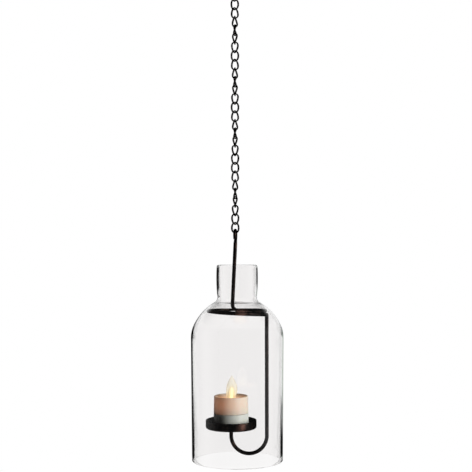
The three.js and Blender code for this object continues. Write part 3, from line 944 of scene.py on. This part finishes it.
def add_base(made):
    """The lower cup, with the battery opening and the switch slot in its floor."""
    top = CANDLE_SEAM_Z - GAP / 2
    inside = CANDLE_BASE_R - CANDLE_WALL - 0.0004
    cup = turned(rounded([
        (CAP_HOLE_R, 0, 0.0002),
        (CANDLE_BASE_R, 0, 0.0009),
        (candle_r(top), top, 0.0003),
        (SPIGOT_R, top, 0.0002),
        (SPIGOT_R, SPIGOT_TOP_Z, 0.0003),
        (SPIGOT_R - 0.001, SPIGOT_TOP_Z, 0.0003),
        (SPIGOT_R - 0.001, top - 0.003, 0.0004),
        (inside, top - 0.0044, 0.0004),
        (inside, CANDLE_WALL, 0.0006),
        (CAP_HOLE_R, CANDLE_WALL, 0.0002),
    ], 4), 144)
    cuts = []
    for angle in (math.pi / 2, -math.pi / 2):
        cuts.append(sector(CAP_HOLE_R - 0.001, CAP_LUG_R + GAP, angle, 0.35, -0.001, CANDLE_WALL + 0.002))
    slot = block((0.0026, SWITCH_TRAVEL + 0.003, CANDLE_WALL + 0.002), (SWITCH_RADIUS, 0, CANDLE_WALL / 2))
    bmesh.ops.rotate(slot, matrix=Matrix.Rotation(SWITCH_TURN, 3, "Z"), verts=slot.verts)
    cup = combined(cup, [*cuts, slot], "DIFFERENCE")
    finished("base_shell", moved(cup, CANDLE), made, "candle", ["base_cup"], 35)


def add_flame(made, core):
    """The hollow flame, flattened front to back and a little off centre, and the glow inside it."""
    collar = CANDLE_HEIGHT - 0.0076
    widest = CANDLE_HEIGHT + 0.007
    bore = FLAME_BORE_R
    belly = []
    for i in range(1, 30):
        share = i / 30
        radius = FLAME_R * math.cos(share * math.pi / 2) ** 0.8 * (1 - 0.25 * share * share)
        belly.append((radius, widest + (FLAME_TIP_Z - widest) * share))
    foot_z = CANDLE_HEIGHT - 0.003
    lower = []
    for i in range(13):
        share = i / 12
        radius = bore + 0.0013 + (FLAME_R - bore - 0.0013) * math.sin(share * math.pi / 2)
        lower.append((radius, foot_z + (widest - foot_z) * share))
    hollow = [(0, widest + 0.004), (bore * 0.5, widest + 0.0032), (bore * 0.85, widest + 0.001)]
    hollow += [(bore, widest - 0.002), (bore, collar - 0.006), (bore + 0.0013, collar - 0.006)]
    flange = [(bore + 0.0013, collar), (WICK_HOLE_R + 0.0013, collar)]
    flange += [(WICK_HOLE_R + 0.0013, collar + 0.001), (bore + 0.0013, collar + 0.001)]
    flame = turned(hollow + flange + lower + belly + [(0, FLAME_TIP_Z)], 64)
    inner = turned([(0, collar + 0.004), (0.0012, collar + 0.0045), (0.0016, CANDLE_HEIGHT),
                    (0.0016, widest - 0.001), (0.0012, widest + 0.0012), (0.0006, widest + 0.0028),
                    (0, widest + 0.0035)], 32)
    for bm in (flame, inner):
        for vertex in bm.verts:
            clear = smoothstep(vertex.co.z, foot_z, widest)
            vertex.co.x += FLAME_SHIFT * clear
            vertex.co.y *= 1 + (FLAME_DEPTH - 1) * clear
    finished("flame_shell", moved(flame, CANDLE), made, "candle", ["flame_tip"], 60)
    finished("flame_glow", moved(inner, CANDLE), core, "candle", (), 60)


def add_electronics(resin, board_made, chip, steel, spring):
    led_bottom = BOARD_Z + BOARD_THICKNESS + GAP
    body = led_bottom + 0.002
    dome = arc(0, body + 0.006, LED_R, 0, math.pi / 2, 10)[:-1]
    flange = LED_FLANGE_R
    profile = [(0, body), (flange - 0.0001, body), (flange, body + 0.0001), (flange, body + 0.0009)]
    profile += [(flange - 0.0001, body + 0.001), (LED_R, body + 0.001)] + dome
    profile += [(0, body + 0.006 + LED_R)]
    lamp = turned(profile, 48)
    leads = [block((0.0005, 0.0005, 0.0025), (x, 0, led_bottom + 0.00125)) for x in (-0.00127, 0.00127)]
    lamp = combined(lamp, leads, "UNION")
    finished("led_lamp", moved(lamp, CANDLE), resin, "candle", ["led"], 40)

    edge = 0.0001
    top = BOARD_Z + BOARD_THICKNESS
    board = rounded([(0, BOARD_Z), (BOARD_R, BOARD_Z, edge), (BOARD_R, top, edge), (0, top)], 2)
    board = moved(turned(board, 96), CANDLE)
    finished("board_disc", board, board_made, "candle", ["circuit_board"], 40)

    drop = [(0, 0), (0.0030, 0), (0.0027, 0.0007), (0.0018, 0.0012), (0, 0.0014)]
    blob = moved(turned([(radius, top + height) for radius, height in drop], 40), (0.008, 0.004, 0))
    chips = [block((0.0032, 0.0016, 0.0006), (x, y, top + 0.0003), 0.0001)
             for x, y in ((-0.008, 0.004), (-0.008, -0.004), (0.007, -0.006))]
    for number, bm in enumerate([blob, *chips], start=1):
        finished(f"board_part_{number}", moved(bm, CANDLE), chip, "candle", (), 40)

    step = 0.0004
    cell = turned(rounded([
        (0, CELL_Z),
        (CELL_R - 0.0008, CELL_Z, 0.0002),
        (CELL_R - 0.0008, CELL_Z + step, 0.0001),
        (CELL_R, CELL_Z + step, 0.0003),
        (CELL_R, CELL_Z + CELL_HEIGHT - 0.0003, 0.0003),
        (CELL_R - 0.0013, CELL_Z + CELL_HEIGHT - 0.0001, 0.0002),
        (CELL_R - 0.0016, CELL_Z + CELL_HEIGHT - 0.0004, 0.0001),
        (CELL_R - 0.0022, CELL_Z + CELL_HEIGHT, 0.0001),
        (0, CELL_Z + CELL_HEIGHT),
    ], 3), 96)
    finished("button_cell", moved(cell, CANDLE), steel, "candle", ["coin_cell"], 35)

    high = BOARD_Z - GAP
    low = CELL_Z + CELL_HEIGHT + GAP + STRIP / 2
    negative = [(-0.005, low + 0.0008), (0, low), (0.006, low + 0.0016), (0.008, low + 0.004), (0.008, high)]
    beside = -(CELL_R + GAP + STRIP / 2)
    start = CELL_Z + 0.0004
    positive = [(beside, start), (beside, start + 0.003)]
    positive += [(beside - 0.002, start + 0.006), (beside - 0.002, high)]
    for name, path, width, node in (
        ("spring_negative", negative, 0.004, "contact_negative"),
        ("spring_positive", positive, 0.0035, "contact_positive"),
    ):
        finished(name, moved(strip(path, width), CANDLE), spring, "candle", [node], 40)


def strip(path, width):
    """A bent strip of sheet metal, given the [x, z] path of its middle, with its bends rounded."""
    middle_line = rounded([path[0], *((x, z, 0.0008) for x, z in path[1:-1]), path[-1]], 5)
    sides = {1: [], -1: []}
    for i, (x, z) in enumerate(middle_line):
        x0, z0 = middle_line[max(i - 1, 0)]
        x1, z1 = middle_line[min(i + 1, len(middle_line) - 1)]
        along = math.hypot(x1 - x0, z1 - z0)
        for sign, points in sides.items():
            reach = sign * STRIP / 2 / along
            points.append((x - (z1 - z0) * reach, z + (x1 - x0) * reach))
    bm = prism(sides[1] + sides[-1][::-1], width, -width / 2)
    bmesh.ops.rotate(bm, matrix=Matrix.Rotation(math.pi / 2, 3, "X"), verts=bm.verts)
    return bm


def add_cap(made):
    """The battery cover: a round plug with two locking lugs and a coin slot."""
    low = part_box("battery_cap")[0].z - CANDLE.z
    plug = turned(rounded([
        (0, low),
        (CAP_R, low, 0.0003),
        (CAP_R, low + CAP_HEIGHT, 0.0003),
        (0, low + CAP_HEIGHT),
    ], 4), 112)
    lugs = [sector(CAP_R - 0.001, CAP_LUG_R, angle, 0.24, CANDLE_WALL + GAP, CAP_LUG_HEIGHT)
            for angle in (math.pi / 4, -3 * math.pi / 4)]
    plug = combined(plug, lugs, "UNION")
    slot = block((0.014, 0.0018, 0.0016), (0, 0, low), 0.0003)
    plug = combined(plug, [slot], "DIFFERENCE")
    finished("battery_cover", moved(plug, CANDLE), made, "battery_cap", ["battery_cap"], 35)


def add_switch(made):
    """The slide switch, with grip ridges across its knob."""
    knob_bottom = 0.0003
    knob_height = CANDLE_WALL + 0.0004
    edge = 0.0002
    flange = block((0.0028, 0.005, 0.0012), (0, 0, CANDLE_WALL + GAP + 0.0006), edge)
    knob = block((0.002, 0.0024, knob_height), (0, 0, knob_bottom + knob_height / 2), edge)
    whole = combined(flange, [knob], "UNION")
    grooves = [block((0.003, 0.0002, 0.0004), (0, y, knob_bottom)) for y in (-0.0007, 0.0, 0.0007)]
    whole = combined(whole, grooves, "DIFFERENCE")
    moved(whole, (SWITCH_RADIUS, -SWITCH_TRAVEL / 2, 0))
    bmesh.ops.rotate(whole, matrix=Matrix.Rotation(SWITCH_TURN, 3, "Z"), verts=whole.verts)
    finished("switch_knob", moved(whole, CANDLE), made, "switch", ["switch_slider"], 35)


# ---- The whole ----

add_camera()
studio_world()
add_floor()

# Points and colours of painted copper highlights on the ring, its spoke and the tray's front rim; patina and
# worn are the bronze's own colours
spoke = LANTERN + Vector((0.006, 0, RING_Z))
tray_front = TRAY + Vector((0.012, -TRAY_R, TRAY_HEIGHT / 2))
patina, worn = (0.006, 0.005, 0.005, 1), (0.040, 0.025, 0.020, 1)
copper, dull_copper = (0.30, 0.17, 0.14, 1), (0.10, 0.05, 0.04, 1)
ring_front = LANTERN + Vector((0.004, -RING_R, RING_Z - RING_DROP / 4))
ring_back = LANTERN + Vector((0.006, RING_R, RING_Z))
painted_highlight_spots = [(spoke, 0.009), (ring_front, 0.008), (ring_back, 0.008)]
wire_bronze = oiled_bronze("wire_bronze", patina, worn, copper, painted_highlight_spots)
pan_bronze = oiled_bronze("pan_bronze", patina, worn, dull_copper, [(tray_front, 0.008)])
add_hook(wire_bronze)
add_chain(blackened_steel())
add_frame(wire_bronze, pan_bronze)
add_glass(blown_glass())

base_plastic = moulded("base_plastic", (0.50, 0.515, 0.48, 1), (0.57, 0.58, 0.55, 1), 0.45, 0.25)
add_shell(ivory_wax())
add_base(base_plastic)
add_flame(frosted_flame(), glowing("flame_core", (0.95, 0.90, 0.74, 1), (0.97, 0.95, 0.86, 1), 0.6))
add_electronics(
    glowing("led_resin", (1.0, 0.70, 0.25, 1), (1.0, 0.85, 0.45, 1), 1.2),
    solder_mask(),
    moulded("epoxy_black", (0.012, 0.012, 0.013, 1), (0.02, 0.02, 0.021, 1), 0.4),
    brushed("cell_steel", (0.52, 0.52, 0.53, 1), (0.66, 0.66, 0.66, 1), (1.0, 0.05, 1.0)),
    brushed("spring_metal", (0.50, 0.46, 0.38, 1), (0.62, 0.58, 0.50, 1), (0.05, 1.0, 1.0)),
)
add_cap(base_plastic)
add_switch(moulded("switch_black", (0.010, 0.010, 0.010, 1), (0.018, 0.018, 0.018, 1), 0.45))

solid = [piece for piece in pieces if piece.name != "blown_chimney"]
key_aim = Vector((0, 0, (NECK_TOP + GLASS_BOTTOM) / 2))
add_lamp("key", KEY_PLACE, key_aim, KEY_SIZE, KEY_POWER, (1.0, 0.985, 0.96), solid)
